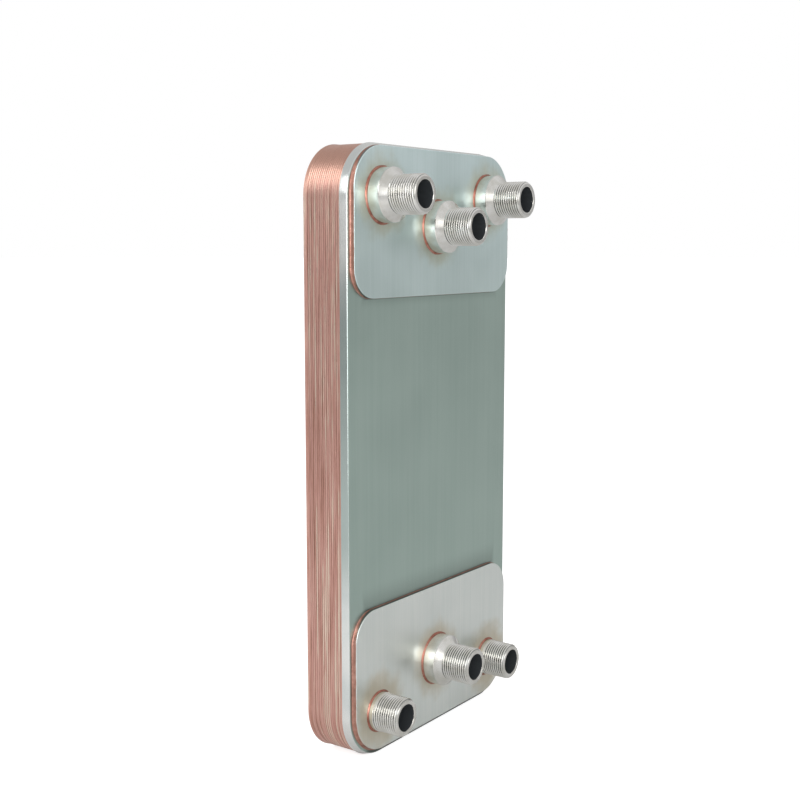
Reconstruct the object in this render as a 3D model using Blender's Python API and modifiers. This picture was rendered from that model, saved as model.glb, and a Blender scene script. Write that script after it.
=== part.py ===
"""Brazed plate heat exchanger with six threaded stub connectors.

The object stands on its lower end with the connectors facing -Y and +Z up.
Its origin is at the middle of the bottom of its bounding box.
All lengths are in metres.

From front to back it is a pan-shaped front cover, a stack of nested channel
plates with pressed herringbone folds, and a rear cover. Every pan opens to the
rear and flares a little, so that each one sits inside the one before it. A thin
braze seam lies in the step behind each rim. Two reinforcement plates carry the
connectors, and copper braze shows round both plates and round each connector.
"""

import math

import bmesh
import bpy
from mathutils import Matrix, Vector

# Overall outline of the rims of both covers
COVER_WIDTH = 0.2535
COVER_HEIGHT = 0.5258
RIM_CORNER_RADIUS = 0.0440

# Depths measured backwards from the face of the front cover
COVER_RIM_DEPTH = 0.0066
REAR_RIM_DEPTH = 0.0439

# Sheets and the gap left between neighbouring pieces
COVER_SHEET = 0.0010
CHANNEL_SHEET = 0.0004
NEST_GAP = 0.0002
FIT_GAP = 0.0003
COVER_BEND_RADIUS = 0.0014

# The stack of channel plates
CHANNEL_COUNT = 16
PITCH = (REAR_RIM_DEPTH - COVER_RIM_DEPTH) / (CHANNEL_COUNT + 2)
FLARE_ANGLE = math.asin((CHANNEL_SHEET + NEST_GAP) / PITCH)
FLARE = math.tan(FLARE_ANGLE)
STACK_INSET = (COVER_SHEET - CHANNEL_SHEET) / math.cos(FLARE_ANGLE)
FOLD_HEIGHT = (PITCH - CHANNEL_SHEET - NEST_GAP) / 2
FIRST_FLOOR = COVER_SHEET + NEST_GAP + FOLD_HEIGHT
CHANNEL_DEPTH = COVER_RIM_DEPTH + PITCH - FIRST_FLOOR
REAR_FLOOR = FIRST_FLOOR + CHANNEL_COUNT * PITCH
REAR_DEPTH = REAR_RIM_DEPTH - REAR_FLOOR

# The herringbone field of a channel plate
FIELD_HALF_WIDTH = 0.106
FIELD_MARGIN = 0.105
CHEVRON_RISE = 0.050
FIELD_FOLDS = 12

# Ports: places across and up the plate
CORNER_PORT_TOP = (0.0820, 0.4825)
CORNER_PORT_BOTTOM = (0.0878, 0.0409)
CENTRE_PORT_TOP_HEIGHT = 0.4573
CENTRE_PORT_BOTTOM_HEIGHT = 0.0638
PORTS = {
    "top_left": (-CORNER_PORT_TOP[0], CORNER_PORT_TOP[1]),
    "top_centre": (0.0, CENTRE_PORT_TOP_HEIGHT),
    "top_right": CORNER_PORT_TOP,
    "bottom_left": (-CORNER_PORT_BOTTOM[0], CORNER_PORT_BOTTOM[1]),
    "bottom_centre": (0.0, CENTRE_PORT_BOTTOM_HEIGHT),
    "bottom_right": CORNER_PORT_BOTTOM,
}
CENTRE_PORTS = ("top_centre", "bottom_centre")
STRAIGHT_PORTS = ("bottom_left", "bottom_right")
CHANNEL_PORT_RADIUS = 0.0150
PORT_SEAL_RADIUS = 0.0200
PORT_SEAL_RISE = PITCH - CHANNEL_SHEET - NEST_GAP
CHANNEL_PORT_SIDES = 8

# Reinforcement plates
REINFORCEMENT_SHEET = 0.0037
REINFORCEMENT_INSET = 0.0042
REINFORCEMENT_INNER_RADIUS = 0.0265
TOP_PLATE_UPPER_EDGE = 0.5232
TOP_PLATE_LOWER_EDGE = 0.3975
BOTTOM_PLATE_UPPER_EDGE = 0.1324

# Connectors: radii, and lengths from the front of the reinforcement plate
BORE_RADIUS = 0.01165
SPIGOT_RADIUS = 0.0140
SPIGOT_HOLE_RADIUS = 0.0145
THREAD_RADIUS = 0.016625
END_FACE_RADIUS = 0.0145
BOSS_RADIUS = 0.0229
BOSS_LENGTH = 0.0122
CONE_END = 0.0185
COLLARED_THREAD_END = 0.0412
COLLARED_LENGTH = 0.0430
SHANK_RADIUS = 0.0170
SHANK_LENGTH = 0.0045
STRAIGHT_THREAD_END = 0.0255
STRAIGHT_LENGTH = 0.0286
BORE_CHAMFER = 0.0005
ROUND_SIDES = 20

# Visible copper fillets
RING_FILLET = 0.0010
PLATE_FILLET_CLIMB = 0.0034
PLATE_FILLET_SPREAD = 0.0006
FILLET_FOOT = 0.0001
SEAM_STEP_GAP = 0.00025
CORNER_STEPS = 4

# Places along Y of the front cover's face and of the reinforcement plates' front
CONNECTOR_REACH = FIT_GAP + REINFORCEMENT_SHEET + COLLARED_LENGTH
RIM_LIP = COVER_SHEET * math.sin(FLARE_ANGLE)
FACE_Y = (CONNECTOR_REACH - REAR_RIM_DEPTH - RIM_LIP) / 2
PLATE_FRONT_Y = FACE_Y - FIT_GAP - REINFORCEMENT_SHEET

# Colours as linear red, green, blue, with metallic and roughness
FINISHES = {
    "stainless_plate": ((0.33, 0.36, 0.34), 1.0, 0.38),
    "stainless_connector": ((0.62, 0.61, 0.58), 1.0, 0.25),
    "channel_plate": ((0.50, 0.27, 0.21), 1.0, 0.42),
    "copper_braze": ((0.50, 0.18, 0.11), 1.0, 0.40),
}


def clear_scene():
    """Remove everything that an empty Blender file starts with."""
    for item in list(bpy.data.objects):
        bpy.data.objects.remove(item, do_unlink=True)


def make_materials():
    """Make one plain material for each finish."""
    materials = {}
    for name, (colour, metallic, roughness) in FINISHES.items():
        material = bpy.data.materials.new(name)
        material.use_nodes = True
        shader = material.node_tree.nodes["Principled BSDF"]
        shader.inputs["Base Color"].default_value = (*colour, 1.0)
        shader.inputs["Metallic"].default_value = metallic
        shader.inputs["Roughness"].default_value = roughness
        material.diffuse_color = (*colour, 1.0)
        materials[name] = material
    return materials


def rounded_outline(half_width, low, high, low_radius, high_radius, grow=0.0):
    """Points round a rectangle with rounded corners, pushed outwards by grow."""
    corners = (
        (half_width - high_radius, high - high_radius, high_radius),
        (high_radius - half_width, high - high_radius, high_radius),
        (low_radius - half_width, low + low_radius, low_radius),
        (half_width - low_radius, low + low_radius, low_radius),
    )
    points = []
    for quarter, (centre_x, centre_z, radius) in enumerate(corners):
        for step in range(CORNER_STEPS + 1):
            angle = math.radians(90.0) * (quarter + step / CORNER_STEPS)
            x = centre_x + (radius + grow) * math.cos(angle)
            z = centre_z + (radius + grow) * math.sin(angle)
            points.append((x, z))
    return points


def rim_outline(grow):
    """The outline shared by all the pans, pushed outwards by grow."""
    radius = RIM_CORNER_RADIUS
    return rounded_outline(COVER_WIDTH / 2, 0.0, COVER_HEIGHT, radius, radius, grow)


def reinforcement_outline(low, high, low_radius, high_radius, grow=0.0):
    """The outline of a reinforcement plate."""
    flare = COVER_RIM_DEPTH * FLARE
    half_width = COVER_WIDTH / 2 - flare - REINFORCEMENT_INSET
    return rounded_outline(half_width, low, high, low_radius, high_radius, grow)


def add_loop(mesh, points, depth):
    """Add a closed loop of edges at one depth and return its edges."""
    verts = [mesh.verts.new((x, depth, z)) for x, z in points]
    return [mesh.edges.new((verts[i - 1], verts[i])) for i in range(len(verts))]


def add_circle(mesh, centre, radius, sides, depth):
    """Add a circle of edges facing along Y and return its edges."""
    turn = Matrix.Rotation(math.radians(90.0), 4, "X")
    place = Matrix.Translation((centre[0], depth, centre[1]))
    made = bmesh.ops.create_circle(
        mesh, cap_ends=False, segments=sides, radius=radius, matrix=place @ turn
    )
    ring = set(made["verts"])
    return [edge for edge in mesh.edges if set(edge.verts) <= ring]


def bridge(mesh, first, second):
    """Join two loops of edges with a band of faces."""
    bmesh.ops.bridge_loops(mesh, edges=first + second)


def fill_between(mesh, edges):
    """Fill the flat region that the loops bound, leaving the holes open."""
    bmesh.ops.triangle_fill(
        mesh, use_beauty=True, use_dissolve=False, edges=edges, normal=(0.0, -1.0, 0.0)
    )


def face_forward(mesh):
    """Turn an open sheet's faces so that its floor faces -Y."""
    bmesh.ops.recalc_face_normals(mesh, faces=mesh.faces)
    lean = sum((face.normal * face.calc_area() for face in mesh.faces), Vector())
    if lean.y > 0.0:
        bmesh.ops.reverse_faces(mesh, faces=mesh.faces)


def store_mesh(mesh, name):
    """Turn a finished bmesh into mesh data."""
    data = bpy.data.meshes.new(name)
    mesh.to_mesh(data)
    mesh.free()
    return data


def add_object(name, data, material, collection, location=(0.0, 0.0, 0.0)):
    """Put mesh or curve data in the collection as one named part."""
    part = bpy.data.objects.new(name, data)
    part.location = location
    if not data.materials:
        data.materials.append(material)
    collection.objects.link(part)
    return part


def add_thickness(part, sheet):
    """Give an open sheet its thickness, on its inner side."""
    solidify = part.modifiers.new("sheet", "SOLIDIFY")
    solidify.thickness = sheet
    solidify.offset = -1.0
    solidify.use_even_offset = True


def shade_round(part):
    """Shade a turned piece smooth between its sharp edges."""
    part.data.shade_smooth()
    part.data.set_sharp_from_angle(angle=math.radians(35.0))


def bend_steps(radius):
    """Steps round a cover's bend, as an inward distance and a depth."""
    turn = math.radians(90.0) - FLARE_ANGLE
    setback = radius * math.tan(turn / 2)
    steps = []
    for part in (0.0, 0.5, 1.0):
        angle = turn * part
        inward = setback - radius * math.sin(angle)
        steps.append((inward, radius * (1.0 - math.cos(angle))))
    return steps


def cover_mesh(name, rim_depth, ports):
    """A pan: a flat floor at depth zero, a rounded bend and a flared skirt."""
    mesh = bmesh.new()
    corner = -rim_depth * FLARE
    loops = []
    for inward, depth in bend_steps(COVER_BEND_RADIUS):
        loops.append(add_loop(mesh, rim_outline(corner - inward), depth))
    loops.append(add_loop(mesh, rim_outline(0.0), rim_depth))
    holes = []
    for place in ports:
        holes += add_circle(mesh, place, SPIGOT_HOLE_RADIUS, ROUND_SIDES, 0.0)
    fill_between(mesh, loops[0] + holes)
    for first, second in zip(loops, loops[1:]):
        bridge(mesh, first, second)
    face_forward(mesh)
    return store_mesh(mesh, name)


def herringbone_field(mesh, direction):
    """Add the folded field of a channel plate and return its border edges."""
    length = COVER_HEIGHT - 2 * FIELD_MARGIN - CHEVRON_RISE
    turn = Matrix.Rotation(math.radians(90.0), 4, "X")
    made = bmesh.ops.create_grid(
        mesh, x_segments=2, y_segments=FIELD_FOLDS, size=0.5, matrix=turn
    )
    for vert in made["verts"]:
        fold = round((vert.co.z + 0.5) * FIELD_FOLDS)
        inner = 0 < fold < FIELD_FOLDS
        across = vert.co.x * 2
        rise = CHEVRON_RISE * (0.5 - abs(across)) * direction
        vert.co.x = across * FIELD_HALF_WIDTH
        vert.co.y = FOLD_HEIGHT * (-1) ** fold * inner
        vert.co.z = COVER_HEIGHT / 2 + vert.co.z * length + rise
    return [edge for edge in mesh.edges if edge.is_boundary]


def channel_mesh(name, direction, sealed_ports):
    """A channel plate whose folds point up or down.

    The rims of the sealed ports are pressed back to meet the next plate, so
    that the channel behind this plate is shut off from those ports.
    """
    mesh = bmesh.new()
    border = herringbone_field(mesh, direction)
    for port, place in PORTS.items():
        if port in sealed_ports:
            outer = add_circle(mesh, place, PORT_SEAL_RADIUS, CHANNEL_PORT_SIDES, 0.0)
            inner = add_circle(
                mesh, place, CHANNEL_PORT_RADIUS, CHANNEL_PORT_SIDES, PORT_SEAL_RISE
            )
            bridge(mesh, outer, inner)
        else:
            outer = add_circle(mesh, place, CHANNEL_PORT_RADIUS, CHANNEL_PORT_SIDES, 0.0)
        border += outer
    floor_edge = add_loop(mesh, rim_outline(-STACK_INSET - CHANNEL_DEPTH * FLARE), 0.0)
    rim = add_loop(mesh, rim_outline(-STACK_INSET), CHANNEL_DEPTH)
    fill_between(mesh, border + floor_edge)
    bridge(mesh, floor_edge, rim)
    face_forward(mesh)
    return store_mesh(mesh, name)


def ring_mesh(name, sections):
    """A closed ring through loops given as points and a depth."""
    mesh = bmesh.new()
    loops = [add_loop(mesh, points, depth) for points, depth in sections]
    for index in range(len(loops)):
        bridge(mesh, loops[index - 1], loops[index])
    bmesh.ops.recalc_face_normals(mesh, faces=mesh.faces)
    return store_mesh(mesh, name)


def seam_mesh(name):
    """The copper that fills the step behind a rim, all the way round."""
    skirt_gap = NEST_GAP / math.cos(FLARE_ANGLE)
    outer = -STACK_INSET - NEST_GAP / 4
    inner = -STACK_INSET + (SEAM_STEP_GAP + FILLET_FOOT - PITCH) * FLARE + skirt_gap
    tail = SEAM_STEP_GAP + FILLET_FOOT + (outer - inner) / FLARE
    sections = (
        (rim_outline(inner), SEAM_STEP_GAP + FILLET_FOOT),
        (rim_outline(outer), SEAM_STEP_GAP),
        (rim_outline(outer), tail),
    )
    return ring_mesh(name, sections)


def reinforcement_curve(name, outline, ports):
    """A flat plate with port holes, as a filled curve."""
    curve = bpy.data.curves.new(name, "CURVE")
    curve.dimensions = "2D"
    curve.fill_mode = "BOTH"
    curve.extrude = REINFORCEMENT_SHEET / 2
    rings = [outline]
    for centre_x, centre_z in ports:
        ring = []
        for side in range(ROUND_SIDES):
            angle = math.tau * side / ROUND_SIDES
            x = centre_x + SPIGOT_HOLE_RADIUS * math.cos(angle)
            z = centre_z + SPIGOT_HOLE_RADIUS * math.sin(angle)
            ring.append((x, z))
        rings.append(ring)
    for ring in rings:
        spline = curve.splines.new("POLY")
        spline.points.add(len(ring) - 1)
        for point, (x, z) in zip(spline.points, ring):
            point.co = (x, z, 0.0, 1.0)
        spline.use_cyclic_u = True
    return curve


def turned_mesh(name, profile):
    """Mesh data that holds a profile of radius and height to be turned."""
    mesh = bmesh.new()
    verts = [mesh.verts.new((radius, 0.0, height)) for radius, height in profile]
    for index in range(len(verts)):
        mesh.edges.new((verts[index - 1], verts[index]))
    return store_mesh(mesh, name)


def add_turned(name, profile, material, collection, port):
    """A turned piece on a port's axis, with its height pointing to -Y."""
    data = turned_mesh(name, profile)
    place = (PORTS[port][0], PLATE_FRONT_Y, PORTS[port][1])
    part = add_object(name, data, material, collection, place)
    part.rotation_euler = (math.radians(90.0), 0.0, 0.0)
    screw = part.modifiers.new("turn", "SCREW")
    screw.angle = math.tau
    screw.steps = ROUND_SIDES
    screw.render_steps = ROUND_SIDES
    screw.use_merge_vertices = True
    screw.merge_threshold = 0.00001
    shade_round(part)
    return part


def connector_profile(length, thread_end, body):
    """Outer side from the open end down to the spigot, then up the bore."""
    spigot_end = -(REINFORCEMENT_SHEET + FIT_GAP + COVER_SHEET)
    outer = [
        (END_FACE_RADIUS, length),
        (THREAD_RADIUS, thread_end),
    ]
    inner = [
        (SPIGOT_RADIUS, FIT_GAP),
        (SPIGOT_RADIUS, spigot_end),
        (BORE_RADIUS, spigot_end),
        (BORE_RADIUS, length - BORE_CHAMFER),
        (BORE_RADIUS + BORE_CHAMFER, length),
    ]
    return outer + body + inner


def collared_profile():
    """A connector with a wide boss and a cone below its thread."""
    body = [
        (THREAD_RADIUS, CONE_END),
        (BOSS_RADIUS, BOSS_LENGTH),
        (BOSS_RADIUS, FIT_GAP),
    ]
    return connector_profile(COLLARED_LENGTH, COLLARED_THREAD_END, body)


def straight_profile():
    """A connector whose thread starts on a short plain shank."""
    shank_chamfer = SHANK_RADIUS - THREAD_RADIUS
    body = [
        (THREAD_RADIUS, SHANK_LENGTH + shank_chamfer),
        (SHANK_RADIUS, SHANK_LENGTH),
        (SHANK_RADIUS, FIT_GAP),
    ]
    return connector_profile(STRAIGHT_LENGTH, STRAIGHT_THREAD_END, body)


def braze_ring_profile(base_radius):
    """A copper fillet round a connector where it meets its plate."""
    inner = base_radius + FIT_GAP
    return [
        (inner, FIT_GAP + RING_FILLET),
        (inner + RING_FILLET, FIT_GAP),
        (inner, FIT_GAP),
    ]


def build_covers(materials, collection):
    """The front cover with its six holes, and the plain rear cover."""
    finish = materials["stainless_plate"]
    front = cover_mesh("front_cover_plate", COVER_RIM_DEPTH, PORTS.values())
    part = add_object("front_cover_plate", front, finish, collection, (0, FACE_Y, 0))
    add_thickness(part, COVER_SHEET)
    rear = cover_mesh("rear_cover_plate", REAR_DEPTH, ())
    rear_y = FACE_Y + REAR_FLOOR
    part = add_object("rear_cover_plate", rear, finish, collection, (0, rear_y, 0))
    add_thickness(part, COVER_SHEET)


def build_stack(materials, collection):
    """The nested channel plates and the copper seams between their rims."""
    corner_ports = [port for port in PORTS if port not in CENTRE_PORTS]
    plate_kinds = (
        channel_mesh("channel_plate_folds_up", 1, corner_ports),
        channel_mesh("channel_plate_folds_down", -1, CENTRE_PORTS),
    )
    for index in range(CHANNEL_COUNT):
        name = f"channel_plate_{index + 1:02d}"
        place = (0, FACE_Y + FIRST_FLOOR + index * PITCH, 0)
        data = plate_kinds[index % 2]
        part = add_object(name, data, materials["channel_plate"], collection, place)
        add_thickness(part, CHANNEL_SHEET)
    seam = seam_mesh("braze_seam")
    for index in range(CHANNEL_COUNT + 1):
        name = f"braze_seam_{index + 1:02d}"
        place = (0, FACE_Y + COVER_RIM_DEPTH + index * PITCH, 0)
        add_object(name, seam, materials["copper_braze"], collection, place)


def build_reinforcement(side, low, high, low_radius, high_radius, materials, collection):
    """One reinforcement plate and the copper fillet round its edge."""
    ports = [place for port, place in PORTS.items() if port.startswith(side)]
    shape = (low, high, low_radius, high_radius)
    name = f"{side}_reinforcement_plate"
    curve = reinforcement_curve(name, reinforcement_outline(*shape), ports)
    middle = (0, PLATE_FRONT_Y + REINFORCEMENT_SHEET / 2, 0)
    part = add_object(name, curve, materials["stainless_plate"], collection, middle)
    part.rotation_euler = (math.radians(90.0), 0.0, 0.0)
    near = reinforcement_outline(*shape, grow=FIT_GAP)
    far = reinforcement_outline(*shape, grow=FIT_GAP + PLATE_FILLET_SPREAD)
    foot = -FIT_GAP - FILLET_FOOT
    crest = -FIT_GAP - PLATE_FILLET_CLIMB
    sections = ((near, -FIT_GAP), (far, foot), (near, crest))
    name = f"{side}_reinforcement_braze"
    fillet = ring_mesh(name, sections)
    add_object(name, fillet, materials["copper_braze"], collection, (0, FACE_Y, 0))


def build_reinforcements(materials, collection):
    """The plates behind the upper and the lower connectors."""
    edge = COVER_RIM_DEPTH * FLARE + REINFORCEMENT_INSET
    outer = RIM_CORNER_RADIUS - edge
    inner = REINFORCEMENT_INNER_RADIUS
    top = (TOP_PLATE_LOWER_EDGE, TOP_PLATE_UPPER_EDGE, inner, outer)
    bottom = (edge, BOTTOM_PLATE_UPPER_EDGE, outer, inner)
    build_reinforcement("top", *top, materials, collection)
    build_reinforcement("bottom", *bottom, materials, collection)


def build_connectors(materials, collection):
    """Six threaded stubs, each with a copper ring at its base."""
    for port in PORTS:
        straight = port in STRAIGHT_PORTS
        profile = straight_profile() if straight else collared_profile()
        base = SHANK_RADIUS if straight else BOSS_RADIUS
        steel = materials["stainless_connector"]
        add_turned(f"{port}_connector", profile, steel, collection, port)
        ring = braze_ring_profile(base)
        copper = materials["copper_braze"]
        add_turned(f"{port}_braze_ring", ring, copper, collection, port)


def build():
    """Build the whole heat exchanger."""
    clear_scene()
    collection = bpy.data.collections.new("plate_heat_exchanger")
    bpy.context.scene.collection.children.link(collection)
    materials = make_materials()
    build_covers(materials, collection)
    build_stack(materials, collection)
    build_reinforcements(materials, collection)
    build_connectors(materials, collection)


build()
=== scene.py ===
# %% [markdown]
# # A brazed plate heat exchanger, piece by piece
# The object is a stack of thin pressed plates, brazed together with copper in
# an oven. A stainless cover closes each end. Two thick plates on the front
# carry six threaded connectors. The imported model already says where each piece
# goes, so the main sizes below are read from it, and the new pieces add what the
# plain model leaves out: threads, rounded bends, fillets and surface finish.

import math

import bmesh
import bpy
from mathutils import Matrix, Vector, noise


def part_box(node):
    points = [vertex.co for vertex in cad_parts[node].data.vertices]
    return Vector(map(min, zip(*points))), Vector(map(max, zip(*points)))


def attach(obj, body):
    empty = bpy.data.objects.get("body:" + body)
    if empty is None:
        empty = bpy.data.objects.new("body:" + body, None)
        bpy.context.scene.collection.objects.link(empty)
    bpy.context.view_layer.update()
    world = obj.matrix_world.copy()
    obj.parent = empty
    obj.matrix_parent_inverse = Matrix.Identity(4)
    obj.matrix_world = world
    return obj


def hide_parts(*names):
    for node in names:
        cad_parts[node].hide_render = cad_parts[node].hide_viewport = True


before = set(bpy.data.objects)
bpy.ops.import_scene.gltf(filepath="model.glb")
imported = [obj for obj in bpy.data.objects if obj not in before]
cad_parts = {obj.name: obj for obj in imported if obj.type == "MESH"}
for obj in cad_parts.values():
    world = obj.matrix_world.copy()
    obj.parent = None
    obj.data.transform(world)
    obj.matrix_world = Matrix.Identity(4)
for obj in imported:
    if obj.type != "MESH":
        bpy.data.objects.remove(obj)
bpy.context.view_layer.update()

# %% [markdown]
# ## Sizes from the model
# Pieces that a learner builds by eye drift apart. Reading each node's box
# keeps them together: a pan's rim is its widest outline, and a connector's
# axis is the middle of its box.

# %% Read the main sizes
MM = 0.001
PORTS = (
    "top_left", "top_centre", "top_right",
    "bottom_left", "bottom_centre", "bottom_right",
)
STRAIGHT = ("bottom_left", "bottom_right")
CHANNEL_COUNT = 16

cover_low, cover_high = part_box("front_cover_plate")
rear_low, rear_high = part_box("rear_cover_plate")
HALF_WIDTH = cover_high.x
HEIGHT = cover_high.z
FACE_Y = cover_low.y
CORNER_RADIUS = 44 * MM
COVER_SHEET = 1 * MM
CHANNEL_SHEET = 0.4 * MM
NEST_GAP = 0.2 * MM


def port_axis(port):
    """Where a port's axis is, across and up."""
    low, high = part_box(f"{port}_connector")
    return (low.x + high.x) / 2, (low.z + high.z) / 2


AXES = {port: port_axis(port) for port in PORTS}
for port, (x, z) in AXES.items():
    print(f"{port}: x {x / MM:.1f} mm, z {z / MM:.1f} mm")

# %% [markdown]
# ## From a bmesh to a finished piece
# A bmesh is Blender's editable mesh. Each finished one becomes an object that
# stays at the origin, so that patterns painted from object coordinates stay
# put. The object rides on the model's only body, takes over the name of the
# plain node that it stands for, and hides it. A pressed sheet is modelled as an
# open surface, and the Solidify modifier gives it its thickness. Its open edges
# are marked sharp first, or the shading would run round the cut edge.

# %% Helpers that finish a piece
SMOOTH_ANGLE = math.radians(32)
BEAD_ANGLE = math.radians(60)
ROUNDED_ANGLE = math.radians(40)
ROUNDING_SEGMENTS = 3
FRONT = Vector((0, -1, 0))


def finish_piece(name, mesh, finishes, smooth_angle=SMOOTH_ANGLE):
    """Make the object for one piece, with its finishes and its body."""
    data = bpy.data.meshes.new(name)
    mesh.edges.index_update()
    open_edges = [edge.index for edge in mesh.edges if edge.is_boundary]
    mesh.to_mesh(data)
    mesh.free()
    data.shade_smooth()
    data.set_sharp_from_angle(angle=smooth_angle)
    for index in open_edges:
        data.edges[index].use_edge_sharp = True
    for finish in finishes:
        data.materials.append(finish)
    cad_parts[name].name = f"{name}_node"
    piece = bpy.data.objects.new(name, data)
    bpy.context.scene.collection.objects.link(piece)
    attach(piece, "root")
    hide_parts(name)
    return piece


def add_sheet(piece, thickness):
    """Give an open surface its thickness, on the side away from its normals."""
    solidify = piece.modifiers.new("sheet", "SOLIDIFY")
    solidify.thickness = thickness
    solidify.offset = -1
    solidify.use_even_offset = True
    solidify.use_quality_normals = True
    return solidify


def add_edge_rounding(piece, width):
    """Round the sharp edges a little, as tools and handling do."""
    bevel = piece.modifiers.new("edges", "BEVEL")
    bevel.width = width
    bevel.segments = ROUNDING_SEGMENTS
    bevel.limit_method = "ANGLE"
    bevel.angle_limit = ROUNDED_ANGLE
    bevel.use_clamp_overlap = False


def face_front(mesh):
    """Turn an open sheet's faces so that most of its area faces the front."""
    bmesh.ops.recalc_face_normals(mesh, faces=mesh.faces)
    lean = sum((face.normal * face.calc_area() for face in mesh.faces), Vector())
    if lean.dot(FRONT) < 0:
        bmesh.ops.reverse_faces(mesh, faces=mesh.faces)


def verts_of(edges):
    """The points of some edges, each once."""
    return {vert for edge in edges for vert in edge.verts}


print(f"the model has {len(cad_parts)} nodes to finish")

# %% [markdown]
# ## A rounded rectangle
# Every pan starts from one flat face. A grid of one cell is a square; scaling
# makes it the outline, and bevelling only its corner points rounds them. Insets
# of that face then draw the skirt, the bend and the floor, one ring at a time,
# just as the press draws the real sheet.

# %% Outline and ring helpers
CORNER_SEGMENTS = 24
TURN_UPRIGHT = Matrix.Rotation(math.radians(90), 4, "X")


def rounded_face(mesh, half_width, low, high, low_radius, high_radius, y):
    """One flat face with rounded corners, facing the front at a depth y."""
    middle = (low + high) / 2
    corners = bmesh.ops.create_grid(
        mesh, x_segments=1, y_segments=1, size=0.5, matrix=TURN_UPRIGHT
    )["verts"]
    bmesh.ops.scale(mesh, verts=corners, vec=(2 * half_width, 1, high - low))
    bmesh.ops.translate(mesh, verts=corners, vec=(0, y, middle))
    for radius, above in ((low_radius, False), (high_radius, True)):
        chosen = [v for v in mesh.verts if (v.co.z > middle) == above]
        bmesh.ops.bevel(
            mesh, geom=chosen, offset=radius, offset_type="OFFSET",
            affect="VERTICES", segments=CORNER_SEGMENTS, profile=0.5,
            material=-1, clamp_overlap=False,
        )
    mesh.faces.ensure_lookup_table()
    face = mesh.faces[0]
    face.normal_update()
    if face.normal.dot(FRONT) < 0:
        bmesh.ops.reverse_faces(mesh, faces=[face])
    return face
def draw_rings(mesh, face, steps):
    """Inset a face step by step: each step is how far in and how far forward."""
    for inward, forward in steps:
        bmesh.ops.inset_region(
            mesh, faces=[face], thickness=inward, depth=0,
            use_even_offset=True, use_boundary=True,
        )
        bmesh.ops.translate(mesh, verts=face.verts, vec=FRONT * forward)
    return face


def circle_edges(mesh, axis, radius, y, segments):
    """A circle of edges round an axis that points to the front."""
    place = Matrix.Translation((axis[0], y, axis[1])) @ TURN_UPRIGHT
    made = bmesh.ops.create_circle(
        mesh, cap_ends=False, segments=segments, radius=radius, matrix=place
    )
    ring = set(made["verts"])
    return [edge for edge in mesh.edges if set(edge.verts) <= ring]


def cut_holes(mesh, face, holes, extra_edges=()):
    """Replace a flat face by one that leaves round holes open."""
    edges = list(face.edges)
    bmesh.ops.delete(mesh, geom=[face], context="FACES_ONLY")
    for axis, radius, y, segments in holes:
        edges += circle_edges(mesh, axis, radius, y, segments)
    bmesh.ops.triangle_fill(
        mesh, use_beauty=True, edges=edges + list(extra_edges), normal=FRONT
    )


# %% [markdown]
# ## Materials: shared effects first
# Rolled sheet, machined steel and brazed copper all vary over their surface.
# What several finishes share is a node group with named sockets: fine grain
# that runs one way, soft patches, the brown heat tint that brazing leaves round
# each connector, and the tints of the stack's layers. A group only hands out
# masks and values, and each material keeps its own Principled shader.

# %% Node helpers
VECTOR_MULTIPLY = {"operation": "MULTIPLY"}
SMOOTH_STEP = {"interpolation_type": "SMOOTHSTEP"}
MOST_NOISE = (0.3, 0.7)


def new_group(name, inputs, outputs):
    """An empty shader node group: (label, kind, default) inputs and float outputs."""
    group = bpy.data.node_groups.new(name, "ShaderNodeTree")
    for label, kind, default in inputs:
        socket = group.interface.new_socket(
            name=label, in_out="INPUT", socket_type=f"NodeSocket{kind}"
        )
        socket.default_value = default
    for label in outputs:
        group.interface.new_socket(
            name=label, in_out="OUTPUT", socket_type="NodeSocketFloat"
        )
    return group


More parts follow.
